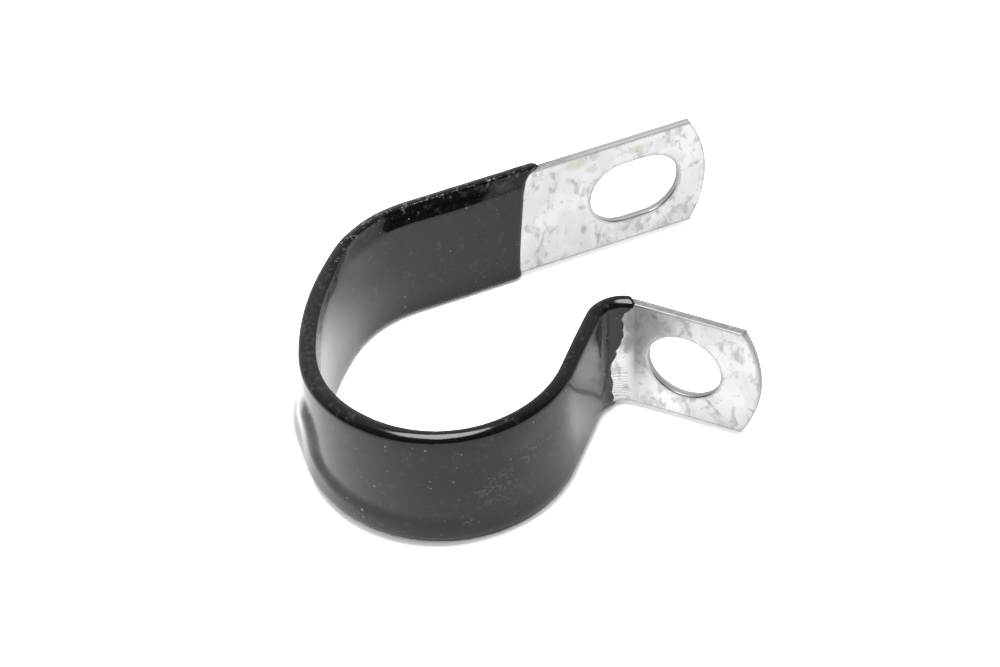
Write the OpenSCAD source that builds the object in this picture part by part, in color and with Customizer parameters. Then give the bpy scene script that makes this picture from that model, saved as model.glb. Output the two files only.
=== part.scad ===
// Vinyl-dipped steel loop clamp, opened out as it comes off a bolt.
// One strip is bent into a loop with a long slotted leg and a short drilled leg.
// A soft vinyl skin covers the loop and ends in a dip line on one leg and a torn line on the other.
// Millimetres. +Z runs along the loop's axis, +X runs out along the long leg.
// The origin is on the axis of the round stretch, halfway across the strip's width.

/* [Strip] */
// Width of the steel strip
strip_w = 12.7; // [9.5:0.1:19]
// Thickness of the steel strip
strip_t = 0.8; // [0.6:0.05:1.2]
// Radius of the rounded end of each leg
tip_r = 12.7; // [9.5:0.1:20]

/* [Loop] */
// Radius inside the vinyl, over the round stretch of the loop
bore_r = 11.25; // [9:0.05:16]
// Angle of the round stretch
round_arc = 156.77; // [140:0.01:175]
// Radius of the flatter stretch, where the legs were pulled apart, to mid-strip
flat_r = 27; // [18:0.5:40]
// Angle of the flatter stretch
flat_arc = 29.51; // [20:0.01:35]
// Angle of the curve that joins the long leg
entry_arc = 41.22; // [35:0.01:50]

/* [Long leg] */
// Straight length of the long leg, to the middle of its tip
long_leg = 31.4; // [28:0.1:40]
// Length of the bolt slot
slot_l = 9.5; // [8:0.1:12]
// Width of the bolt slot
slot_w = 7.2; // [5:0.1:8]
// Distance from the tip to the middle of the slot
slot_inset = 7.7; // [7:0.1:10]

/* [Short leg] */
// Straight length from the loop to the bend
neck = 7.2; // [5:0.1:9]
// Radius inside the vinyl at the bend
bend_in_r = 2.25; // [2:0.05:4]
// Angle of the bend
bend_arc = 95.18; // [85:0.01:100]
// Straight length of the short leg, to the middle of its tip
short_leg = 12.3; // [11.5:0.1:18]
// Diameter of the bolt hole
hole_d = 7.2; // [5:0.1:8]
// Distance from the tip to the middle of the hole
hole_inset = 7.5; // [6.5:0.1:8]

/* [Vinyl] */
// Thickness of the vinyl on the strip's faces
vinyl_t = 0.45; // [0.3:0.05:0.6]
// Thickness of the vinyl over the strip's upper and lower edges
rim_t = 0.6; // [0.45:0.05:0.8]
// Distance from the long leg's tip to the dip line, at mid-width
dip_line = 19.8; // [17:0.1:24]
// Lean of the dip line in degrees
dip_lean = 6; // [0:0.5:10]
// Radius of the curl where the dip line runs out along each edge of the strip
curl_r = 1.2; // [0.5:0.1:2]
// Height that the drip at the loop's far side stands out of the skin
drip_h = 0.9; // [0.3:0.1:1.2]
// Half the height of the drip
drip_half = 3.3; // [2:0.1:4]
// Direction of the drip about the loop's axis
drip_angle = 166; // [162:1:220]
// Middle of the drip, below mid-width
drip_drop = 4.6; // [0:0.1:5]
// Height of the drip's flat underside above the skin's lower edge
drip_foot = 0.25; // [0.2:0.05:0.8]

/* [Hidden] */
$fn = 96;
// How far a cutter runs past what it cuts
past = 1;

// Sections
skin_t = strip_t + 2 * vinyl_t;
skin_w = strip_w + 2 * rim_t;

// Radii to mid-strip, and the headings of the path where its stretches meet
loop_r = bore_r + skin_t / 2;
bend_r = bend_in_r + skin_t / 2;
leg_heading = 180;
entry_end = leg_heading + entry_arc;
flat_end = entry_end + flat_arc;
round_end = flat_end + round_arc;

// The centre of an arc seen from the centre of the arc it runs on into
function arc_step(radius_change, heading) = radius_change * [sin(heading), -cos(heading)];
// Where the long leg joins the loop, worked back from the centre of the round stretch
leg_root = arc_step(loop_r - flat_r, flat_end) + arc_step(flat_r - loop_r, entry_end)
    + arc_step(loop_r, leg_heading);

// The torn line on the short leg, as distance past the bend and height, from the top edge down
torn_line = [
    [0, 7], [-0.5, 6.3], [-1, 5.9], [-1.1, 5.2], [-0.9, 4.6], [-1, 3.6], [-1.35, 2.1], [-1.5, 1],
    [-1.95, -0.3], [-2.07, -1.2], [-1.87, -2.3], [-1.83, -3.4], [-1.92, -4], [-1.8, -5.3], [-1.8, -7]
];
torn_scale = skin_w / 13.9;

// Frames along the path: each starts where a stretch starts, with X straight ahead
module past_left(radius, angle) {
    translate([0, radius]) rotate(angle) translate([0, -radius]) children();
}
module past_right(radius, angle) {
    translate([0, -radius]) rotate(-angle) translate([0, radius]) children();
}
module at_entry() {
    translate(leg_root) rotate(leg_heading) children();
}
module at_flat() {
    at_entry() past_left(loop_r, entry_arc) children();
}
module at_round() {
    at_flat() past_left(flat_r, flat_arc) children();
}
module at_neck() {
    at_round() past_left(loop_r, round_arc) children();
}
module at_bend() {
    at_neck() translate([neck, 0]) children();
}
module at_short() {
    at_bend() past_right(bend_r, bend_arc) children();
}
// The legs' own frames start at the tip, with X back along the leg
module at_long_tip() {
    at_entry() translate([-long_leg, 0]) children();
}
module at_short_tip() {
    at_short() translate([short_leg, 0]) rotate(180) children();
}

// A section carried straight ahead; the section's X points to the left of the path
module straight(length) {
    rotate([90, 0, 90]) linear_extrude(length) children();
}

// A section carried all the way round, to the left or the right of where it starts
module ring(radius, side = 1) {
    translate([0, side * radius]) rotate_extrude() translate([radius, 0]) children();
}

// Everything ahead of a frame, or behind it
module ahead(way = 1) {
    reach = 3 * flat_r;
    translate([way > 0 ? 0 : -reach, -reach / 2, -reach / 2]) cube(reach);
}

module strip_section() {
    square([strip_t, strip_w], center = true);
}

module skin_section() {
    square([skin_t, skin_w - skin_t], center = true);
    for (side = [-1, 1])
        translate([0, side * (skin_w - skin_t) / 2]) circle(d = skin_t);
}

// A section carried along the whole loop, from the long leg's root to the short leg's root
module loop_path() {
    intersection() {
        at_entry() ring(loop_r) children();
        at_entry() ahead();
        at_flat() ahead(-1);
    }
    intersection() {
        at_flat() ring(flat_r) children();
        at_flat() ahead();
        at_round() ahead(-1);
    }
    intersection() {
        at_round() ring(loop_r) children();
        at_round() ahead();
        at_neck() ahead(-1);
    }
    at_neck() straight(neck) children();
    intersection() {
        at_bend() ring(bend_r, -1) children();
        at_bend() ahead();
        at_short() ahead(-1);
    }
}

// The strip at full length, before its tips and holes are cut
module strip() {
    at_long_tip() straight(long_leg) strip_section();
    loop_path() strip_section();
    at_short() straight(short_leg) strip_section();
}

// A shape drawn on a leg's face, cut through the leg
module through_leg() {
    rotate([90, 0, 0]) linear_extrude(4 * skin_t, center = true) children();
}

// What lies outside the rounded tip
module tip_waste() {
    difference() {
        translate([-past, -strip_w]) square([past + tip_r / 2, 2 * strip_w]);
        translate([tip_r, 0]) circle(tip_r);
    }
}

module slot_2d() {
    square([slot_l - slot_w, slot_w], center = true);
    for (end = [-1, 1])
        translate([end * (slot_l - slot_w) / 2, 0]) circle(d = slot_w);
}

module steel_band() {
    color("silver") difference() {
        strip();
        at_long_tip() through_leg() {
            tip_waste();
            translate([slot_inset, 0]) slot_2d();
        }
        at_short_tip() through_leg() {
            tip_waste();
            translate([hole_inset, 0]) circle(d = hole_d);
        }
    }
}

// What lies on the tip's side of the dip line, leaving a curl along each edge
module dip_waste() {
    half = skin_w / 2;
    lean = half * tan(dip_lean);
    difference() {
        polygon([
            [-past, half + past], [dip_line - lean, half + past],
            [dip_line + lean, -half - past], [-past, -half - past]
        ]);
        translate([dip_line - lean - curl_r, half - curl_r]) difference() {
            square(2 * curl_r);
            circle(curl_r);
        }
    }
}

module torn_waste() {
    polygon(concat(
        [for (p = torn_line) [p[0], p[1] * torn_scale]],
        [[bend_r, -skin_w], [bend_r, skin_w]]
    ));
}

// A lens of vinyl that ran to the far side of the loop and set there
module drip() {
    ball_r = (drip_half * drip_half + drip_h * drip_h) / (2 * drip_h);
    out = loop_r + skin_t / 2 + drip_h - ball_r;
    difference() {
        translate([out * cos(drip_angle), out * sin(drip_angle), -drip_drop]) sphere(ball_r);
        cylinder(h = 4 * ball_r, r = loop_r, center = true);
        translate([0, 0, drip_foot - skin_w / 2 - 2 * ball_r])
            cube([8 * loop_r, 8 * loop_r, 4 * ball_r], center = true);
    }
}

module vinyl_coating() {
    color("#1b1b1c") difference() {
        union() {
            at_long_tip() straight(long_leg) skin_section();
            loop_path() skin_section();
            drip();
        }
        strip();
        at_long_tip() through_leg() dip_waste();
        at_short() rotate([90, 0, 0])
            translate([0, 0, -skin_t]) linear_extrude(skin_t + bend_r) torn_waste();
    }
}

steel_band();
vinyl_coating();
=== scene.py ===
import math

import bmesh
import bpy
from mathutils import Matrix, Vector, geometry, noise


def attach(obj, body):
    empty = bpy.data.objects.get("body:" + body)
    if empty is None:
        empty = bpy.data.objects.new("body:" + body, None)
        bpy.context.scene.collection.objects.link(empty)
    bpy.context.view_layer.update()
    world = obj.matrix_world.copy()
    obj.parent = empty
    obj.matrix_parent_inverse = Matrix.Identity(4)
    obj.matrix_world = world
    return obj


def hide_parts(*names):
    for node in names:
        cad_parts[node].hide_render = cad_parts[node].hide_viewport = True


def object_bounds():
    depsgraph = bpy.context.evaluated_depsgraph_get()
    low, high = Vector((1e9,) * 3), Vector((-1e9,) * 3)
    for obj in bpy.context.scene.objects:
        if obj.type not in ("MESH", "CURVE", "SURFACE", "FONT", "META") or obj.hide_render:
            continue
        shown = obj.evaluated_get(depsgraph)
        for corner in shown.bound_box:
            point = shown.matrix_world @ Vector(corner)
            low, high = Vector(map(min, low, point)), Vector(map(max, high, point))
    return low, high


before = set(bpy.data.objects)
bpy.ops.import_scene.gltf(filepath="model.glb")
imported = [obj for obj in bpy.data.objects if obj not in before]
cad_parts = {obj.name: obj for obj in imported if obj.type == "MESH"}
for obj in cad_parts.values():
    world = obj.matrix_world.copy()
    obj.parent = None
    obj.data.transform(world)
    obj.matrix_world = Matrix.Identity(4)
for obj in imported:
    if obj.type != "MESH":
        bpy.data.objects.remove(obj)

cadBounds = [list(corner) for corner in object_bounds()]
mm = 0.001


# Shared helpers

def newObject(name, mesh):
    made = bpy.data.objects.new(name, mesh)
    bpy.context.scene.collection.objects.link(made)
    return made


def readCurve(points, at):
    # Straight lines between given points
    if at <= points[0][0]:
        return points[0][1]
    for (x0, y0), (x1, y1) in zip(points, points[1:]):
        if at <= x1:
            return y0 + (y1 - y0) * (at - x0) / (x1 - x0)
    return points[-1][1]


def smooth(x):
    x = min(max(x, 0.0), 1.0)
    return x * x * (3 - 2 * x)


class NodeTree:
    # A thin wrapper that adds nodes and joins them by socket
    def __init__(self, tree):
        self.tree = tree

    def add(self, kind, inputs=None, **settings):
        made = self.tree.nodes.new(kind)
        for name, value in settings.items():
            setattr(made, name, value)
        for key, value in (inputs or {}).items():
            self.put(made.inputs[key], value)
        return made

    def put(self, socket, value):
        if isinstance(value, bpy.types.NodeSocket):
            self.tree.links.new(value, socket)
        else:
            socket.default_value = value

    def math(self, operation, *values):
        made = self.add("ShaderNodeMath", operation=operation)
        for index, value in enumerate(values):
            self.put(made.inputs[index], value)
        return made.outputs[0]

    def vector(self, operation, *values, scale=None):
        made = self.add("ShaderNodeVectorMath", operation=operation)
        for index, value in enumerate(values):
            self.put(made.inputs[index], value)
        if scale is not None:
            self.put(made.inputs["Scale"], scale)
        return made.outputs["Value" if operation in ("DOT_PRODUCT", "LENGTH") else "Vector"]

    def ramp(self, value, stops):
        made = self.add("ShaderNodeValToRGB", {"Fac": value})
        elements = made.color_ramp.elements
        while len(elements) < len(stops):
            elements.new(0.5)
        for element, (place, level) in zip(elements, stops):
            element.position = place
            element.color = level if isinstance(level, tuple) else (level, level, level, 1)
        return made.outputs["Color"]

    def mixColour(self, share, first, second):
        made = self.add("ShaderNodeMix", data_type="RGBA")
        self.put(made.inputs[0], share)
        self.put(made.inputs[6], first)
        self.put(made.inputs[7], second)
        return made.outputs[2]

    def range(self, value, start, end, low=0.0, high=1.0):
        # A smooth step from low to high as the value runs from start to end
        made = self.add("ShaderNodeMapRange", {
            "Value": value, "From Min": start, "From Max": end, "To Min": low, "To Max": high})
        made.interpolation_type = "SMOOTHSTEP"
        return made.outputs["Result"]

    def noise(self, place, scale, detail=2.0, roughness=0.5, distortion=0.0, output="Fac"):
        made = self.add("ShaderNodeTexNoise", {
            "Vector": place, "Scale": scale, "Detail": detail,
            "Roughness": roughness, "Distortion": distortion})
        return made.outputs[output]


# The path

# The strip as it lies, from the long leg's tip to the short leg's tip, in millimetres and degrees
stripPath = {
    "longLeg": 31.4,
    "loopRadius": 12.1,      # middle of the strip
    "entryArc": 41.22,
    "flatRadius": 27.0,
    "flatArc": 29.51,
    "roundArc": 156.77,
    "neck": 7.2,
    "bendRadius": 3.1,
    "bendArc": 95.18,
    "shortLeg": 12.3,
    "step": 0.12,            # spacing of the path's points
}


def pathPoints():
    s = stripPath
    heading, here, points = 180.0, Vector((0, 0)), [Vector((0, 0))]
    runs = [
        ("straight", s["longLeg"], 0), ("arc", s["loopRadius"], s["entryArc"]),
        ("arc", s["flatRadius"], s["flatArc"]), ("arc", s["loopRadius"], s["roundArc"]),
        ("straight", s["neck"], 0), ("arc", s["bendRadius"], -s["bendArc"]), ("straight", s["shortLeg"], 0),
    ]
    marks = [0.0]
    for kind, size, turn in runs:
        if kind == "straight":
            ahead = Vector((math.cos(math.radians(heading)), math.sin(math.radians(heading))))
            count = math.ceil(size / s["step"])
            points += [here + ahead * size * i / count for i in range(1, count + 1)]
            length = size
        else:
            side = 1 if turn > 0 else -1
            centre = here + Vector((-math.sin(math.radians(heading)), math.cos(math.radians(heading)))) * size * side
            length = size * math.radians(abs(turn))
            count = math.ceil(length / s["step"])
            for i in range(1, count + 1):
                at = math.radians(heading + turn * i / count)
                points.append(centre + Vector((math.sin(at), -math.cos(at))) * size * side)
            if size == s["loopRadius"] and turn == s["roundArc"]:
                loopCentre = centre
            heading += turn
        here = points[-1]
        marks.append(marks[-1] + length)
    return [p - loopCentre for p in points], marks


def pathObject(points):
    curve = bpy.data.curves.new("stripPath", "CURVE")
    curve.dimensions = "3D"
    spline = curve.splines.new("POLY")
    spline.points.add(len(points) - 1)
    for point, place in zip(spline.points, points):
        point.co = (place.x * mm, place.y * mm, 0, 1)
    return newObject("stripPath", curve)


# Bending a straight piece round the path, with Geometry Nodes

def bendTree():
    tree = bpy.data.node_groups.new("followPath", "GeometryNodeTree")
    face = tree.interface
    face.new_socket("Straight", in_out="INPUT", socket_type="NodeSocketGeometry")
    face.new_socket("Path", in_out="INPUT", socket_type="NodeSocketObject")
    face.new_socket("Finish", in_out="INPUT", socket_type="NodeSocketMaterial")
    face.new_socket("Bent", in_out="OUTPUT", socket_type="NodeSocketGeometry")
    t = NodeTree(tree)
    given = t.add("NodeGroupInput")
    path = t.add("GeometryNodeObjectInfo", {"Object": given.outputs["Path"]})
    place = t.add("ShaderNodeSeparateXYZ", {"Vector": t.add("GeometryNodeInputPosition").outputs[0]})
    sample = t.add("GeometryNodeSampleCurve", {
        "Curves": path.outputs["Geometry"], "Length": place.outputs["X"]}, mode="LENGTH")
    left = t.vector("NORMALIZE", t.vector("CROSS_PRODUCT", (0, 0, 1), sample.outputs["Tangent"]))
    aside = t.vector("SCALE", left, scale=place.outputs["Y"])
    raised = t.add("ShaderNodeCombineXYZ", {"Z": place.outputs["Z"]}).outputs[0]
    target = t.vector("ADD", t.vector("ADD", sample.outputs["Position"], aside), raised)
    moved = t.add("GeometryNodeSetPosition", {"Geometry": given.outputs["Straight"], "Position": target})
    finished = t.add("GeometryNodeSetMaterial", {
        "Geometry": moved.outputs["Geometry"], "Material": given.outputs["Finish"]})
    real = t.add("GeometryNodeRealizeInstances", {"Geometry": finished.outputs["Geometry"]})
    t.add("NodeGroupOutput", {"Bent": real.outputs["Geometry"]})
    return tree


def bend(name, straight, tree, path, finish):
    flat = newObject(name + "Flat", straight)
    modifier = flat.modifiers.new("followPath", "NODES")
    modifier.node_group = tree
    sockets = {s.name: s.identifier for s in tree.interface.items_tree if s.in_out == "INPUT"}
    modifier[sockets["Path"]] = path
    modifier[sockets["Finish"]] = finish
    bpy.context.view_layer.update()
    evaluated = flat.evaluated_get(bpy.context.evaluated_depsgraph_get())
    mesh = bpy.data.meshes.new_from_object(evaluated)
    mesh.name = name
    bpy.data.objects.remove(flat)
    return newObject(name, mesh)


# Steel

steelStrip = {
    "width": 12.7,
    "thickness": 0.8,
    "tipRadius": 12.7,
    "slotLength": 9.5,
    "slotWidth": 7.2,
    "slotInset": 7.7,        # from the long leg's tip
    "holeDiameter": 7.2,
    "holeInset": 7.5,        # from the short leg's tip
    "shearedEdge": 0.07,     # rounding of the outline's edges
    "punchedRim": 0.16,      # draw-down round the slot and the hole
    "grid": 0.45,            # spacing of the blank's inner points
    "outerMargin": 0.25,     # kept free of inner points inside the outline
    "holeMargin": 0.4,       # and round the slot and the hole
}


def arcPoints(centre, radius, start, end, step):
    count = max(4, math.ceil(abs(end - start) * radius / step))
    return [
        (centre[0] + radius * math.cos(start + (end - start) * i / count),
         centre[1] + radius * math.sin(start + (end - start) * i / count))
        for i in range(count + 1)
    ]


def stripOutline(length, inset):
    # The blank's outline, drawn in by inset, anticlockwise
    s = steelStrip
    half = s["width"] / 2 - inset
    radius = s["tipRadius"] - inset
    lean = math.asin(half / radius)
    far = length - s["tipRadius"]
    right = arcPoints((far, 0), radius, -lean, lean, 0.35)
    left = arcPoints((s["tipRadius"], 0), radius, math.pi - lean, math.pi + lean, 0.35)
    count = math.ceil((right[-1][0] - left[0][0]) / 0.3)
    xs = [right[-1][0] + (left[0][0] - right[-1][0]) * i / count for i in range(1, count)]
    top = [(x, half) for x in xs]
    bottom = [(x, -half) for x in reversed(xs)]
    return right + top + left + bottom


def slotOutline(grow):
    s = steelStrip
    radius = s["slotWidth"] / 2 + grow
    reach = (s["slotLength"] - s["slotWidth"]) / 2
    quarter = math.pi / 2
    return (arcPoints((s["slotInset"] + reach, 0), radius, -quarter, quarter, 0.22)
            + arcPoints((s["slotInset"] - reach, 0), radius, quarter, 3 * quarter, 0.22))


def holeOutline(length, grow):
    s = steelStrip
    radius = s["holeDiameter"] / 2 + grow
    return arcPoints((length - s["holeInset"], 0), radius, 0, 2 * math.pi, 0.22)[:-1]


def slotDistance(x, y):
    # From a place on the blank to the slot's middle line
    s = steelStrip
    reach = (s["slotLength"] - s["slotWidth"]) / 2
    along = min(max(x, s["slotInset"] - reach), s["slotInset"] + reach)
    return math.hypot(x - along, y)


def holeDistance(length, x, y):
    # From a place on the blank to the hole's middle
    return math.hypot(x - (length - steelStrip["holeInset"]), y)


def steelBlank(length):
    # The flat blank: each face is a triangulated sheet whose rims are drawn down over a few loops
    s = steelStrip
    half = s["thickness"] / 2
    stages = [0, 22, 45, 67, 90]
    outlines = [lambda d: stripOutline(length, d), lambda d: slotOutline(d), lambda d: holeOutline(length, d)]
    edges = [s["shearedEdge"], s["punchedRim"], s["punchedRim"]]
    loops, points, height = [], [], []
    for outline, edge in zip(outlines, edges):
        for degree in stages:
            into = edge * (1 - math.cos(math.radians(degree)))
            level = half - edge * (1 - math.sin(math.radians(degree)))
            ring = outline(into)
            loops.append(list(range(len(points), len(points) + len(ring))))
            points += [Vector(p) for p in ring]
            height += [level] * len(ring)

    def clear(x, y):
        tip = s["tipRadius"] - s["outerMargin"]
        if abs(y) > s["width"] / 2 - s["outerMargin"] or math.hypot(x - s["tipRadius"], y) > tip and x < 6:
            return False
        if math.hypot(x - (length - s["tipRadius"]), y) > tip and x > length - 6:
            return False
        if holeDistance(length, x, y) < s["holeDiameter"] / 2 + s["holeMargin"]:
            return False
        return slotDistance(x, y) > s["slotWidth"] / 2 + s["holeMargin"]

    across = math.ceil(s["width"] / s["grid"])
    x = s["grid"]
    while x < length:
        for i in range(1, across):
            y = -s["width"] / 2 + s["width"] * i / across
            if clear(x, y):
                points.append(Vector((x, y)))
                height.append(half)
        x += 0.12 if bendStart - 0.5 < x < bendEnd + 0.5 else 0.3

    borders = [(a, b) for loop in loops for a, b in zip(loop, loop[1:] + loop[:1])]
    flat = geometry.delaunay_2d_cdt(points, borders, [], 0, 1e-6)
    corners, faces, origins = flat[0], flat[2], flat[3]
    level = [height[origin[0]] if origin else half for origin in origins]
    first = {origin: index for index, names in enumerate(origins) for origin in names}
    rims = [[first[i] for i in loops[k]] for k in (0, len(stages), 2 * len(stages))]

    def inSteel(face):
        x = sum(corners[i].x for i in face) / len(face)
        y = sum(corners[i].y for i in face) / len(face)
        close = 0.003
        if holeDistance(length, x, y) < s["holeDiameter"] / 2 - close:
            return False
        if slotDistance(x, y) < s["slotWidth"] / 2 - close or abs(y) > s["width"] / 2:
            return False
        if x < 4 and math.hypot(x - s["tipRadius"], y) > s["tipRadius"] + close:
            return False
        return not (x > length - 4 and math.hypot(x - length + s["tipRadius"], y) > s["tipRadius"] + close)

    mesh = bmesh.new()
    cut, border = (mesh.verts.layers.float.new(name) for name in ("cutEdge", "border"))
    front = [mesh.verts.new((p.x * mm, h * mm, p.y * mm)) for p, h in zip(corners, level)]
    back = [mesh.verts.new((p.x * mm, -h * mm, p.y * mm)) for p, h in zip(corners, level)]
    for face in faces:
        if inSteel(face):
            mesh.faces.new([front[i] for i in face])
            mesh.faces.new([back[i] for i in reversed(face)])
    for rim in rims:
        for a, b in zip(rim, rim[1:] + rim[:1]):
            mesh.faces.new([front[a], front[b], back[b], back[a]])
        for i in rim:
            front[i][cut] = back[i][cut] = 1
    for i in (first[i] for loop in loops for i in loop):
        front[i][border] = back[i][border] = 1
    loose = [v for v in mesh.verts if not v.link_faces]
    bmesh.ops.delete(mesh, geom=loose, context="VERTS")
    along, through, up = (mesh.verts.layers.float.new(name) for name in ("along", "through", "up"))
    for v in mesh.verts:
        v[along], v[through], v[up] = v.co.x / mm, v.co.y / mm, v.co.z / mm
    bmesh.ops.recalc_face_normals(mesh, faces=mesh.faces)
    for face in mesh.faces:
        face.smooth = True
    made = bpy.data.meshes.new("steelBlank")
    mesh.to_mesh(made)
    mesh.free()
    return made


# Vinyl

vinylSkin = {
    "faceCover": 0.45,
    "edgeCover": 0.6,
    # Radii of the rim, from the outer wall to the bore's side, and the degrees at which they meet
    "outerRound": 0.6, "crownFrom": 58, "crown": 1.6, "crownTo": 76, "innerFrom": 122,
    "innerRound": (0.18, 0.25),      # without and with the taper
    "taperTilt": 12,         # degrees that the bore's side leans back below the rim
    "taperLength": 1.4,
    "taperFade": 0.8,
    "lipLength": 0.55,       # over which the dip line rounds off
    "tornLip": 0.7,          # share of the cover left at the torn line
    "rowStep": 0.3,
    "ripple": 0.018,         # slow swelling of the skin
    "pitting": 0.013,        # roughness of the long leg's rim
    "footHeight": 2.05,      # over which the outer wall rounds in at the bottom
    "frontHollow": 0.07,     # how far the front wall lies back above its bead
    "leftSwell": 0.08,       # fullness of the loop's left side
}

# How much of the bore side's taper there is, by distance from the long leg's tip
taperRun = [(38.5, 1), (43.5, 0), (64, 0), (72, 0.75)]

# Where the dip line lies, as (height, distance from the long leg's tip)
dipLine = [
    (-6.95, 20.15), (-5.5, 20.29), (-3.1, 20.2), (-0.5, 19.99), (2.0, 19.76),
    (4.2, 19.56), (5.5, 19.27), (6.2, 18.84), (6.6, 18.3), (6.95, 17.95),
]

# Where the torn line lies on the bend's hollow face, as (height, degrees back from the short leg)
tornLine = [
    (-6.95, 60), (-6.4, 57), (-5.6, 49), (-4.9, 51), (-4.3, 52.5), (-3.6, 49.5), (-3.0, 48.5), (-2.5, 52), (-1.95, 56.5),
    (-1.4, 56), (-0.75, 51.5), (-0.3, 44), (0.1, 40), (0.7, 38), (1.1, 34.5), (1.6, 29), (2.2, 25.5),
    (3.2, 24.5), (4.0, 23.5), (4.5, 27), (5.2, 23), (5.6, 14), (6.05, 4), (6.5, 2), (6.95, 3),
]

# How far the rim sinks below its full height, as (degrees round the loop's axis, millimetres)
rimDip = [(88, 0), (108, 0.25), (125, 0.34), (150, 0.34), (178, 0.25), (215, 0), (335, 0), (352, 0.22), (376, 0.25)]

# The run of vinyl that set on the loop's far side and along the lower edge. Its border and its
# thickness are given by degrees round the axis, the rest in millimetres
setRun = {
    "border": [(130, -2.5), (148, -0.5), (158, 0.7), (168, 2), (176, 2.8), (181, 2.4), (183.5, 1), (185, -1.2),
               (189, -2.3), (200, -3.1), (215, -3.5), (230, -3.8), (290, -4.3)],
    "thickness": [(130, 0), (146, 0.35), (158, 0.5), (170, 0.56), (182, 0.55), (190, 0.46), (215, 0.38), (235, 0.3),
                  (250, 0.2), (260, 0.06), (266, 0)],
    "step": [(168, 2.8), (186, 1.4)],              # width of the step at its border
    "bulge": 0.68, "angle": 157.5, "halfAngle": 18, "middle": -2.7, "halfHeight": 4.8,
    "foot": [(160, 3.0), (172, 2.6), (188, 1.3)],  # height over which it rounds in above the floor
}


def insideRun(angle, up):
    # How far a place lies inside the run's border, in millimetres over the skin
    perDegree = math.radians(stripPath["loopRadius"] + 0.85)
    here = Vector((angle * perDegree, up))
    near = 99.0
    corners = [Vector((x * perDegree, y)) for x, y in setRun["border"]]
    for a, b in zip(corners, corners[1:]):
        share = min(max((here - a).dot(b - a) / (b - a).length_squared, 0), 1)
        near = min(near, (here - a.lerp(b, share)).length)
    return near if up < readCurve(setRun["border"], angle) else -near


def rimProfile(half, top, tilt):
    # From the outer wall over the rim to the bore's side, as (aside, up); four arcs meet without a kink
    v = vinylSkin
    gone = math.tan(math.radians(tilt)) * (v["taperLength"] + v["taperFade"] / 2)
    last = 180 - tilt
    innerRound = v["innerRound"][1 if tilt else 0]
    outer, crown, inner, end = (math.cos(math.radians(a)) for a in (v["crownFrom"], v["crownTo"], v["innerFrom"], last))
    width = 2 * half - gone - v["outerRound"] * (1 - outer) - v["crown"] * (outer - crown) - innerRound * (inner - end)
    arcs = [
        (v["outerRound"], 0, v["crownFrom"], 8), (v["crown"], v["crownFrom"], v["crownTo"], 7),
        (width / (crown - inner), v["crownTo"], v["innerFrom"], 10), (innerRound, v["innerFrom"], last, 7),
    ]
    points = [(0.0, 0.0)]
    for radius, start, end, steps in arcs:
        aside, up = points[-1]
        a = math.radians(start)
        for i in range(1, steps + 1):
            b = math.radians(start + (end - start) * i / steps)
            points.append((aside + radius * (math.cos(a) - math.cos(b)), up + radius * (math.sin(b) - math.sin(a))))
    highest = max(up for aside, up in points)
    return [(aside - half, up + top - highest) for aside, up in points]


def skinSection(share):
    # Points round the skin's outside as (aside, up): outer wall, rim, bore's side, rounded foot
    v, s = vinylSkin, steelStrip
    half = s["thickness"] / 2 + v["faceCover"]
    top = s["width"] / 2 + v["edgeCover"]
    rim = rimProfile(half, top, v["taperTilt"] * share)
    lean = math.tan(math.radians(v["taperTilt"] * share))
    straight, fade = v["taperLength"], v["taperFade"]
    taper = []
    for i in range(1, 13):
        down = (straight + fade) * i / 12
        past = max(0.0, down - straight)
        taper.append((rim[-1][0] + lean * (down - past * past / (2 * fade)), rim[-1][1] - down))
    low = half - top
    boreSide = [(half, taper[-1][1] + (low - taper[-1][1]) * i / 22) for i in range(1, 23)]
    quarter = [math.pi / 2 * i / 12 for i in range(1, 13)]
    foot = [(half * math.cos(a), low - half * math.sin(a)) for a in quarter]
    high = v["footHeight"] - top
    foot += [(-half * math.sin(a), high - v["footHeight"] * math.cos(a)) for a in quarter]
    outerWall = [(-half, high + (rim[0][1] - high) * i / 26) for i in range(1, 26)]
    return rim + taper + boreSide + foot + outerWall


def corePoint(aside, up):
    # The point of the hollow inside, just within the steel's surface, that lies under a point of the skin
    core = steelStrip["thickness"] / 2 - 0.01
    reach = steelStrip["width"] / 2 - steelStrip["thickness"] / 2
    level = min(max(up, -reach), reach)
    share = core / max(abs(aside), abs(up - level))
    return aside * share, level + (up - level) * share


def skinEnds(aside, up):
    # Where the skin starts and ends along the strip, for one line of its section
    start = readCurve(dipLine, up)
    if aside < 0:
        start += 0.25 * math.sin(0.8 * up)
    hollow = readCurve(tornLine, up)
    radius = stripPath["bendRadius"]
    ahead = -math.sin(math.radians(hollow)) * (radius - 0.4 - vinylSkin["faceCover"])
    ahead += 0.12 * noise.noise(Vector((up * 2.3, 4.1, 0))) + 0.09 * noise.noise(Vector((up * 6.1, 9.7, 0)))
    reach = radius + aside
    end = bendEnd - radius * math.asin(max(-0.98, min(0.98, -ahead / reach)))
    return start, end - 0.5 * smooth((up - 5.6) / 0.8) * smooth((aside + 0.5) / 0.9)


def roundAngle(along):
    # Degrees round the loop's axis, for a place along the strip
    return firstRound + math.degrees((along - roundStart) / stripPath["loopRadius"])


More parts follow.
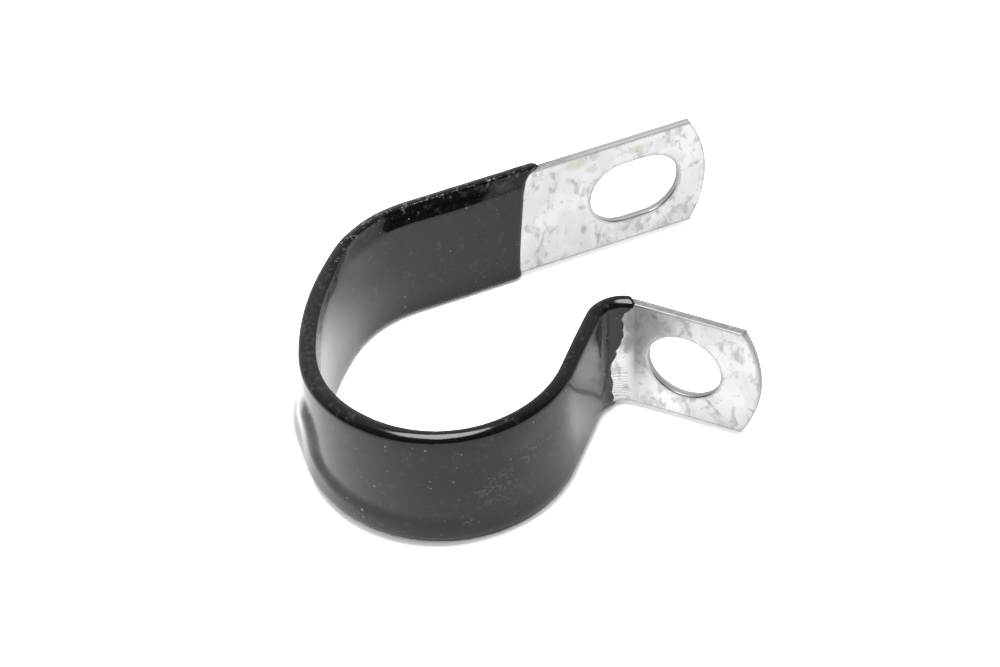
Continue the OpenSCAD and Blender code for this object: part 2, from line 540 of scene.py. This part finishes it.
def skinSwell(along, aside, up):
    # How far the skin stands out of its even cover, in millimetres; the outer wall also carries the run
    v, r = vinylSkin, setRun
    swell = v["ripple"] * (noise.noise(Vector((along * 0.16, aside * 0.6, up * 0.22))) - 0.7)
    nearRim = smooth((abs(up) - 5.2) / 1.2)
    swell += nearRim * (0.012 * noise.noise(Vector((along * 1.1, aside, up * 0.8))) - 0.02)
    if up > 0:
        onLeg = smooth((46 - along) / 8) * nearRim
        swell += onLeg * v["pitting"] * (noise.noise(Vector((along * 0.9, aside * 1.5, up * 1.4))) - 0.4)
        swell += onLeg * 2 * v["pitting"] * (noise.noise(Vector((along * 0.32, aside * 2, 3))) - 0.5)
        swell += onLeg * 0.4 * v["pitting"] * noise.noise(Vector((along * 2.6, aside * 3, up * 3 + 7)))
    if aside < 0:
        angle = roundAngle(along)
        foot = smooth((up + 6.9) / readCurve(r["foot"], angle))
        away = ((angle - r["angle"]) / r["halfAngle"]) ** 2 + ((up - r["middle"]) / r["halfHeight"]) ** 2
        if away < 1:
            swell += r["bulge"] * (1 - away) ** 2 * foot
        run = smooth(insideRun(angle, up) / readCurve(r["step"], angle) + 0.5)
        swell += readCurve(r["thickness"], angle) * run * foot
        swell -= v["frontHollow"] * (1 - run) * smooth((4.8 - up) / 2) * smooth(1.6 - abs(angle - 268) / 22)
        swell += v["leftSwell"] * smooth(1.5 - abs(angle - 162) / 18) * foot * smooth((6 - up) / 2)
    return swell


def vinylTube():
    # A hollow tube: rows of its section along the outside, then back along the inside
    v = vinylSkin
    top = steelStrip["width"] / 2 + v["edgeCover"]
    section = skinSection(1)
    sections = [[Vector(p) for p in section], [Vector(p) for p in skinSection(0)]]
    cores = [[Vector(corePoint(*p)) for p in points] for points in sections]
    mesh = bmesh.new()
    layers = [mesh.verts.layers.float.new(name) for name in ("along", "through", "up")]
    first = readCurve(dipLine, 0)
    span = bendEnd - first
    count = math.ceil(span / v["rowStep"])
    stations = []
    for i in range(count):
        stations.append(i / count)
        if first + span * i / count > bendStart - 1:
            stations.append((i + 0.5) / count)
    stations.append(1.0)
    lip = [0.0, 0.02, 0.06, 0.13, 0.22, 0.34, 0.5, 0.7, 0.95]
    ends = [skinEnds(*point) for point in section]

    def skinPoint(at, start, end, index, outside):
        taper = readCurve(taperRun, at)
        inner = cores[1][index].lerp(cores[0][index], taper)
        if not outside:
            return Vector((at, inner.x, inner.y))
        outer = sections[1][index].lerp(sections[0][index], taper)
        share = 1.0
        if at - start < v["lipLength"]:
            share = math.sqrt(max(0.0, 1 - (1 - (at - start) / v["lipLength"]) ** 2))
        if end - at < 0.25:
            share = v["tornLip"] + (1 - v["tornLip"]) * smooth((end - at) / 0.25)
        away = outer - inner
        spread = inner + away * share + away.normalized() * skinSwell(at, *outer) * share
        spread.y -= share * smooth((outer.y - 5.0) / 1.6) * readCurve(rimDip, roundAngle(at))
        return Vector((at, spread.x, min(max(spread.y, -top), top)))

    def row(place, outside=True):
        line = []
        for index, (start, end) in enumerate(ends):
            spot = skinPoint(place(start, end), start, end, index, outside)
            vert = mesh.verts.new(spot * mm)
            for layer, value in zip(layers, spot):
                vert[layer] = value
            line.append(vert)
        return line

    grid = [row(lambda a, b: a + step * v["lipLength"]) for step in lip]
    grid += [row(lambda a, b: a + (b - a) * station) for station in stations[2:]]
    grid += [row(lambda a, b: a + (b - a) * station, outside=False) for station in reversed(stations)]
    wide = len(section)
    for a, b in zip(grid, grid[1:] + grid[:1]):
        for i in range(wide):
            j = (i + 1) % wide
            mesh.faces.new([a[i], a[j], b[j], b[i]])
    bmesh.ops.recalc_face_normals(mesh, faces=mesh.faces)
    for face in mesh.faces:
        face.smooth = True
    for edge in mesh.edges:
        if len(edge.link_faces) == 2 and edge.calc_face_angle() > math.radians(42):
            edge.smooth = False
    made = bpy.data.meshes.new("vinylTube")
    mesh.to_mesh(made)
    mesh.free()
    return made


# Finishes

def newMaterial(name):
    made = bpy.data.materials.new(name)
    made.use_nodes = True
    made.node_tree.nodes.clear()
    return made, NodeTree(made.node_tree)


def sheetPlace(t):
    # The place on the flat strip: (along, up, 0) in millimetres
    along, up = (t.add("ShaderNodeAttribute", attribute_name=name).outputs["Fac"] for name in ("along", "up"))
    return t.add("ShaderNodeCombineXYZ", {"X": along, "Y": up}).outputs[0]


def spot(t, sheet, centre, reach, core=0.3):
    # 1 inside a soft oval on the strip, 0 outside
    off = t.vector("SUBTRACT", sheet, (centre[0], centre[1], 0))
    away = t.vector("LENGTH", t.vector("MULTIPLY", off, (1 / reach[0], 1 / reach[1], 0)))
    return t.range(away, 1.0, core)


def stroke(t, sheet, start, end, width):
    # 1 along a straight scratch on the strip
    span = Vector((end[0] - start[0], end[1] - start[1], 0))
    off = t.vector("SUBTRACT", sheet, (start[0], start[1], 0))
    share = t.math("DIVIDE", t.vector("DOT_PRODUCT", off, tuple(span)), span.length_squared)
    held = t.add("ShaderNodeClamp", {"Value": share}).outputs[0]
    near = t.vector("SUBTRACT", off, t.vector("SCALE", tuple(span), scale=held))
    return t.range(t.vector("LENGTH", near), width, width * 0.2)


def anyOf(t, masks):
    whole = masks[0]
    for mask in masks[1:]:
        whole = t.math("MAXIMUM", whole, mask)
    return whole


zincPlate = {
    "bright": (0.86, 0.86, 0.855, 1),
    "cool": (0.75, 0.765, 0.765, 1),
    "grey": (0.45, 0.46, 0.455, 1),
    "tan": (0.60, 0.60, 0.53, 1),
    # The next colour is painted reflection: the dark vinyl neck as the short leg's steel mirrors it
    "neckReflection": (0.44, 0.46, 0.465, 1),
    "edge": (0.46, 0.465, 0.465, 1),
    "line": (0.22, 0.23, 0.24, 1),
    "roughness": (0.34, 0.5),
    "grain": 0.00003,        # metres
}

# Marks on the strip, in millimetres: distance from the long leg's tip, height, and half-sizes
longLegMarks = {
    "tan": [((13.9, 5.4), (1.6, 1.0)), ((7.4, 5.1), (1.3, 0.9)), ((12.3, 4.4), (0.9, 0.8))],
    "grey": [((16.6, 3.4), (0.5, 0.8)), ((13.4, -3.2), (0.6, 0.9)), ((1.2, 0.9), (0.9, 0.5)), ((5.2, -3.9), (0.5, 0.6)),
             ((11.85, -4.4), (0.35, 2.2)), ((7.3, 5.0), (0.3, 0.7))],
    "smear": (11.5, 17.5),   # dark along the sheared upper edge, from nothing to full
}

# The same on the short leg, with distances from the bend's end
shortLegMarks = {
    # The first two lists are ovals of painted reflection: the dark vinyl neck mirrored in the steel, deepest in the
    # bend. The pale ovals lighten that painted reflection.
    "neckReflection": [((0.9, 4.6), (2.6, 2.0)), ((0.1, 2.0), (1.7, 2.2)), ((2.6, 4.2), (1.3, 1.2)),
             ((-0.9, 4.2), (1.4, 2.6)), ((-0.9, 1.2), (1.2, 1.8))],
    "deepNeckReflection": [((-0.7, 4.0), (1.1, 2.8)), ((-0.8, 1.4), (0.9, 1.8))],
    "dark": [((2.0, 5.5), (0.35, 0.3)), ((0.45, -3.75), (0.35, 0.25))],
    "pale": [((1.2, -2.2), (1.5, 1.9)), ((0.9, 2.3), (0.8, 0.5))],
    "scratches": [((6.9, -3.1), (8.7, -5.0), 0.14), ((2.85, -2.8), (3.3, -4.1), 0.08), ((9.6, -1.9), (10.4, -1.6), 0.07)],
    "ribs": ((-1.9, -3.9), (1.3, 3.0)),
    "ribPitch": 0.36,
}


def zincFinish():
    z = zincPlate
    made, t = newMaterial("zincPlate")
    place = t.add("ShaderNodeTexCoord").outputs["Object"]
    inMm = t.vector("SCALE", place, scale=1000.0)
    flat = t.vector("MULTIPLY", inMm, (1, 1, 0.62))
    drift = t.noise(inMm, 0.5, detail=3, output="Color")
    warped = t.vector("ADD", flat, t.vector("SCALE", drift, scale=1.5))
    sheet = sheetPlace(t)
    wavy = t.vector("ADD", sheet, t.vector("SCALE", t.vector("SUBTRACT", drift, (0.5, 0.5, 0.5)), scale=1.3))
    fromBend = t.vector("SUBTRACT", wavy, (bendEnd, 0, 0))
    steady = t.vector("SUBTRACT", sheet, (bendEnd, 0, 0))
    through = t.add("ShaderNodeAttribute", attribute_name="through").outputs["Fac"]
    boreFace = t.range(through, -0.1, 0.1)
    farFace = t.range(through, 0.1, -0.1)

    cloud = t.range(t.noise(warped, 0.33, detail=3, roughness=0.55), 0.38, 0.66)
    colour = t.mixColour(cloud, z["bright"], z["cool"])
    blotch = t.noise(warped, 0.62, detail=3, roughness=0.55, distortion=0.4)
    fine = t.noise(warped, 1.7, detail=3, roughness=0.6)
    patches = t.math("MULTIPLY", t.range(blotch, 0.5, 0.62), t.range(fine, 0.36, 0.6, 0.25, 1.0))
    flecks = t.math("MULTIPLY", t.range(fine, 0.6, 0.7), 0.65)
    marks = longLegMarks
    byHand = t.math("MULTIPLY", boreFace, anyOf(t, [spot(t, wavy, *m) for m in marks["grey"]]))
    byHand = t.math("MULTIPLY", byHand, t.range(fine, 0.4, 0.56, 0.15, 1.0))
    grey = anyOf(t, [t.math("MULTIPLY", patches, 0.68), flecks, t.math("MULTIPLY", byHand, 0.8)])
    colour = t.mixColour(grey, colour, z["grey"])
    tan = t.math("MULTIPLY", boreFace, anyOf(t, [spot(t, wavy, *m) for m in marks["tan"]]))
    colour = t.mixColour(t.math("MULTIPLY", tan, 0.65), colour, z["tan"])

    # Painted reflection on the short leg: the dark vinyl neck mirrored in the steel, darker in the bend and lighter at
    # the pale ovals; the same ovals also roughen the steel
    marks = shortLegMarks
    neckReflection = t.math("MULTIPLY", farFace, anyOf(t, [spot(t, fromBend, *m, core=0.55) for m in marks["neckReflection"]]))
    neckReflection = t.math("MULTIPLY", neckReflection, t.range(fine, 0.62, 0.36, 0.45, 1.0))
    pale = t.math("MULTIPLY", farFace, anyOf(t, [spot(t, fromBend, *m) for m in marks["pale"]]))
    neckReflection = t.math("MULTIPLY", neckReflection, t.math("SUBTRACT", 1.0, t.math("MULTIPLY", pale, 0.6)))
    colour = t.mixColour(t.math("MULTIPLY", neckReflection, 0.5), colour, z["neckReflection"])
    deepNeckReflection = t.math("MULTIPLY", farFace, anyOf(t, [spot(t, fromBend, *m, core=0.3) for m in marks["deepNeckReflection"]]))
    colour = t.mixColour(t.math("MULTIPLY", deepNeckReflection, 0.75), colour, z["neckReflection"])
    dark = anyOf(t, [spot(t, fromBend, *m) for m in marks["dark"]]
                 + [stroke(t, steady, *m) for m in marks["scratches"]])
    dark = t.math("MULTIPLY", dark, t.range(fine, 0.3, 0.55, 0.2, 1.0))
    colour = t.mixColour(t.math("MULTIPLY", t.math("MULTIPLY", dark, farFace), 0.5), colour, z["line"])
    ribs = t.add("ShaderNodeTexWave", {
        "Vector": t.vector("MULTIPLY", wavy, (0.12, 1, 1)), "Scale": 1 / (math.pi * 2 * marks["ribPitch"] / 2),
        "Distortion": 2.0, "Detail": 1.0}, bands_direction="Y").outputs["Fac"]
    ribbed = t.math("MULTIPLY", farFace, spot(t, fromBend, *marks["ribs"], core=0.6))
    ribLines = t.math("MULTIPLY", ribbed, t.range(ribs, 0.35, 0.1))
    colour = t.mixColour(t.math("MULTIPLY", ribLines, 0.5), colour, z["line"])

    cut = t.add("ShaderNodeAttribute", attribute_name="cutEdge").outputs["Fac"]
    wall = t.range(cut, 0.75, 0.98)
    border = t.range(t.add("ShaderNodeAttribute", attribute_name="border").outputs["Fac"], 0.2, 0.95)
    colour = t.mixColour(t.math("MULTIPLY", border, 0.65), colour, z["grey"])
    shearLine = t.range(t.math("ABSOLUTE", t.math("ADD", through, t.math("MULTIPLY", fine, 0.12))), 0.10, 0.03)
    colour = t.mixColour(t.math("MULTIPLY", wall, 0.72), colour, z["edge"])
    colour = t.mixColour(t.math("MULTIPLY", t.math("MULTIPLY", wall, shearLine), 0.5), colour, z["line"])
    at = t.add("ShaderNodeSeparateXYZ", {"Vector": sheet}).outputs
    smear = t.math("MULTIPLY", t.range(at["Y"], 6.1, 6.3), t.range(at["X"], *longLegMarks["smear"]))
    smear = t.math("MULTIPLY", t.math("MULTIPLY", wall, smear), t.range(fine, 0.3, 0.6, 0.4, 1.0))
    colour = t.mixColour(t.math("MULTIPLY", smear, 0.8), colour, z["line"])
    metal = t.math("MULTIPLY_ADD", wall, -0.8, 1.0)
    roughness = t.math("MULTIPLY_ADD", grey, z["roughness"][1] - z["roughness"][0], z["roughness"][0])
    roughness = t.math("MAXIMUM", roughness, t.math("MULTIPLY", t.math("MAXIMUM", neckReflection, deepNeckReflection), 0.6))
    grain = t.math("ADD", t.noise(inMm, 6.0, detail=4, roughness=0.6), t.math("MULTIPLY", ribLines, -0.8))
    bump = t.add("ShaderNodeBump", {"Height": grain, "Strength": 0.3, "Distance": z["grain"]})
    shader = t.add("ShaderNodeBsdfPrincipled", {
        "Base Color": colour, "Roughness": roughness, "Metallic": metal, "Normal": bump.outputs["Normal"]})
    t.add("ShaderNodeOutputMaterial", {"Surface": shader.outputs[0]})
    return made


blackVinyl = {
    "colour": (0.006, 0.006, 0.0065, 1),
    "dust": (0.42, 0.42, 0.40, 1),
    "stain": (0.19, 0.18, 0.14, 1),
    "roughness": (0.09, 0.16),
    "dimples": 0.00004,      # metres
    "rimPits": 0.00005,
}

# Stained dust on the front of the loop: distance from the long leg's tip, height, and half-sizes
vinylStains = [((76.9, -0.6), (2.7, 3.2)), ((74.2, -3.6), (0.8, 0.8)), ((80.3, 2.4), (1.8, 2.0))]


def specks(t, place, density, chosen, size):
    # Scattered specks: a few of the cells of a cell pattern get one each; size is in cells
    cells = t.add("ShaderNodeTexVoronoi", {"Vector": place, "Scale": density})
    picked = t.add("ShaderNodeSeparateColor", {"Color": cells.outputs["Color"]})
    radius = t.math("MULTIPLY", t.math("ADD", picked.outputs["Green"], 0.35), size)
    dot = t.range(t.math("DIVIDE", cells.outputs["Distance"], radius), 1.0, 0.4)
    return t.math("MULTIPLY", dot, t.math("GREATER_THAN", picked.outputs["Red"], 1 - chosen))


def vinylFinish():
    b = blackVinyl
    made, t = newMaterial("blackVinyl")
    place = t.add("ShaderNodeTexCoord").outputs["Object"]
    inMm = t.vector("SCALE", place, scale=1000.0)
    sheet = sheetPlace(t)
    drift = t.vector("SUBTRACT", t.noise(inMm, 1.1, detail=2, output="Color"), (0.5, 0.5, 0.5))
    wavy = t.vector("ADD", sheet, t.vector("SCALE", drift, scale=0.5))
    dust = specks(t, inMm, 1.0, 0.2, 0.16)
    fine = specks(t, inMm, 2.2, 0.08, 0.18)
    fibres = specks(t, t.vector("MULTIPLY", wavy, (0.45, 1.5, 1)), 1.0, 0.12, 0.12)
    upright = specks(t, t.vector("MULTIPLY", wavy, (1.6, 0.5, 1)), 1.0, 0.09, 0.12)
    stained = anyOf(t, [spot(t, wavy, *m) for m in vinylStains])
    film = t.range(t.noise(inMm, 1.1, detail=3, roughness=0.6), 0.56, 0.72)
    crumbs = t.math("MULTIPLY", stained, t.range(t.noise(inMm, 2.4, detail=2), 0.52, 0.62))
    colour = t.mixColour(t.math("MULTIPLY", film, 0.09), b["colour"], b["dust"])
    colour = t.mixColour(t.math("MULTIPLY", crumbs, 0.42), colour, b["stain"])
    parts = t.add("ShaderNodeSeparateXYZ", {"Vector": sheet})
    leftRim = t.math("MULTIPLY", t.range(parts.outputs["Y"], 5.9, 6.5), t.math("MULTIPLY", t.range(
        parts.outputs["X"], 44.0, 50.0), t.range(parts.outputs["X"], 62.0, 57.0)))
    crumbled = t.math("MULTIPLY", leftRim, t.range(t.noise(inMm, 2.6, detail=3), 0.45, 0.7))
    offRim = t.range(t.math("ABSOLUTE", parts.outputs["Y"]), 6.4, 5.9)
    faint = t.math("MULTIPLY", anyOf(t, [fibres, upright]), 0.7)
    scattered = t.math("MULTIPLY", offRim, anyOf(t, [dust, fine, faint]))
    dusty = anyOf(t, [scattered, t.math("MULTIPLY", crumbled, 0.09)])
    colour = t.mixColour(t.math("MULTIPLY", dusty, 0.75), colour, b["dust"])
    smear = t.noise(inMm, 0.3, detail=3)
    roughness = t.range(smear, 0.35, 0.7, *b["roughness"])
    # The rim is duller round the loop's left side, and pitted along the long leg, where pale specks are partly scuffs
    # and partly painted glints
    dulled = t.math("MULTIPLY", t.range(parts.outputs["Y"], 5.5, 6.1), t.math("MULTIPLY", t.range(
        parts.outputs["X"], 41.0, 45.0), t.range(parts.outputs["X"], 64.0, 58.0)))
    roughness = anyOf(t, [roughness, t.math("MULTIPLY", dusty, 0.5), t.math("MULTIPLY", dulled, 0.34)])

    onRim = t.math("MULTIPLY", t.range(parts.outputs["Y"], 5.8, 6.7), t.range(parts.outputs["X"], 48.0, 38.0))
    pits = t.math("MULTIPLY", onRim, t.noise(inMm, 2.0, detail=2, roughness=0.5))
    # Pale specks along the long leg's rim: partly scuffs, partly painted glints
    scuffsAndGlints = t.math("MULTIPLY", onRim, t.range(t.noise(inMm, 2.3, detail=3), 0.57, 0.68))
    colour = t.mixColour(t.math("MULTIPLY", scuffsAndGlints, 0.3), colour, b["dust"])
    dimple = t.add("ShaderNodeBump", {
        "Height": t.noise(inMm, 0.9, detail=2), "Strength": 0.15, "Distance": b["dimples"]})
    pitted = t.add("ShaderNodeBump", {
        "Height": pits, "Strength": 0.8, "Distance": b["rimPits"], "Normal": dimple.outputs["Normal"]})
    shader = t.add("ShaderNodeBsdfPrincipled", {
        "Base Color": colour, "Roughness": roughness, "IOR": 1.5, "Normal": pitted.outputs["Normal"]})
    t.add("ShaderNodeOutputMaterial", {"Surface": shader.outputs[0]})
    return made


# Studio

cameraView = {
    "place": (-65.31, -184.61, 195.57),
    "heading": 68.91,
    "lookDown": 43.92,
    "roll": -3.12,
    "lens": 108.0,           # on a 36 mm wide sensor
}

studio = {
    "floorRadius": 0.9,
    "floorColour": 0.45,     # as it lights the object
    "floorSeen": 2.3,        # as the camera sees it, which leaves only the deep shadow
    "floorMirrored": 0.89,   # as the object mirrors it
    # Pools of light on the mirrored floor: middle, inner and outer radius in millimetres, and gain
    "pools": [((-10, 8), 8, 34, 0.55), ((-6, 13), 3, 14, 1.05), ((13, -11), 5, 17, 0.1), ((16.5, -4.5), 1.5, 6, 0.55)],
    "lampPlace": (-0.02, 0.014, 0.5),
    "lampWidth": 0.28,
    "lampPower": 1.9,
    # The room's brightness by direction, from the camera's side of the room to the far side
    "roomFill": 0.6,         # as it lights the floor and the sheared edges
    "room": [(0.0, 0.03), (0.46, 0.05), (0.62, 0.34), (0.9, 0.58), (1.0, 0.8)],
}


def placeCamera():
    c = cameraView
    heading, down, roll = (math.radians(c[k]) for k in ("heading", "lookDown", "roll"))
    ahead = Vector((math.cos(heading) * math.cos(down), math.sin(heading) * math.cos(down), -math.sin(down)))
    right = ahead.cross(Vector((0, 0, 1))).normalized()
    up = right.cross(ahead)
    right, up = right * math.cos(roll) + up * math.sin(roll), up * math.cos(roll) - right * math.sin(roll)
    data = bpy.data.cameras.new("camera")
    data.sensor_width, data.lens = 36.0, c["lens"]
    data.clip_start, data.clip_end = 0.01, 10.0
    camera = bpy.data.objects.new("camera", data)
    camera.matrix_world = Matrix((right, up, -ahead)).transposed().to_4x4()
    camera.location = Vector(c["place"]) * mm
    bpy.context.scene.collection.objects.link(camera)
    bpy.context.scene.camera = camera


def floorFinish():
    made, t = newMaterial("paleFloor")
    place = t.vector("SCALE", t.add("ShaderNodeTexCoord").outputs["Object"], scale=1000.0)
    mirrored = studio["floorMirrored"]
    for middle, inner, outer, gain in studio["pools"]:
        flat = t.vector("MULTIPLY", t.vector("SUBTRACT", place, (*middle, 0)), (1, 1, 0))
        mirrored = t.math("ADD", t.range(t.vector("LENGTH", flat), outer, inner, 0, gain), mirrored)
    rays = t.add("ShaderNodeLightPath").outputs
    glossy = t.math("MAXIMUM", rays["Is Glossy Ray"], rays["Is Transmission Ray"])
    shade = studio["floorColour"]
    colour = t.mixColour(glossy, (shade, shade, shade, 1), mirrored)
    colour = t.mixColour(rays["Is Camera Ray"], colour, (studio["floorSeen"],) * 3 + (1,))
    plain = t.add("ShaderNodeBsdfDiffuse", {"Color": colour})
    t.add("ShaderNodeOutputMaterial", {"Surface": plain.outputs[0]})
    return made


def placeFloor(level):
    mesh = bmesh.new()
    bmesh.ops.create_circle(mesh, cap_ends=True, segments=96, radius=studio["floorRadius"])
    data = bpy.data.meshes.new("floor")
    bmesh.ops.translate(mesh, verts=mesh.verts, vec=(0.015, 0, level))
    mesh.to_mesh(data)
    mesh.free()
    floor = newObject("floor", data)
    data.materials.append(floorFinish())


def placeLamp():
    data = bpy.data.lights.new("softbox", "AREA")
    data.shape, data.size, data.energy = "DISK", studio["lampWidth"], studio["lampPower"]
    lamp = bpy.data.objects.new("softbox", data)
    lamp.location = studio["lampPlace"]
    bpy.context.scene.collection.objects.link(lamp)


def lightRoom():
    # A dim room with a pale wall behind the object, and white where the camera sees past the floor
    world = bpy.data.worlds.new("studio")
    bpy.context.scene.world = world
    world.use_nodes = True
    world.node_tree.nodes.clear()
    t = NodeTree(world.node_tree)
    heading = math.radians(cameraView["heading"])
    direction = t.add("ShaderNodeTexCoord").outputs["Generated"]
    toBack = t.vector("DOT_PRODUCT", direction, (math.cos(heading), math.sin(heading), 0))
    level = t.ramp(t.math("MULTIPLY_ADD", toBack, 0.5, 0.5), studio["room"])
    rays = t.add("ShaderNodeLightPath").outputs
    level = t.mixColour(rays["Is Diffuse Ray"], level, (studio["roomFill"],) * 3 + (1,))
    back = t.add("ShaderNodeBackground", {"Color": t.mixColour(rays["Is Camera Ray"], level, (1, 1, 1, 1))})
    t.add("ShaderNodeOutputWorld", {"Surface": back.outputs[0]})


# Making

placeCamera()
bpy.context.scene.view_settings.view_transform = "Standard"
points, marks = pathPoints()
roundStart, bendStart, bendEnd, fullLength = marks[3], marks[5], marks[6], marks[7]
firstRound = 90 + stripPath["entryArc"] + stripPath["flatArc"]
path = pathObject(points)
followPath = bendTree()
print("path", [round(m, 2) for m in marks])

steel = bend("steelStrip", steelBlank(fullLength), followPath, path, zincFinish())
print("steel", len(steel.data.polygons), "faces")
vinyl = bend("vinylSkin", vinylTube(), followPath, path, vinylFinish())
print("vinyl", len(vinyl.data.polygons), "faces")
bpy.data.objects.remove(path)

for piece, node, slot in ((steel, "steel_band", "galvanised_steel"), (vinyl, "vinyl_coating", "black_vinyl")):
    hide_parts(node)
    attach(piece, "root")

placeFloor(cadBounds[0][2])
placeLamp()
lightRoom()
print("studio placed")
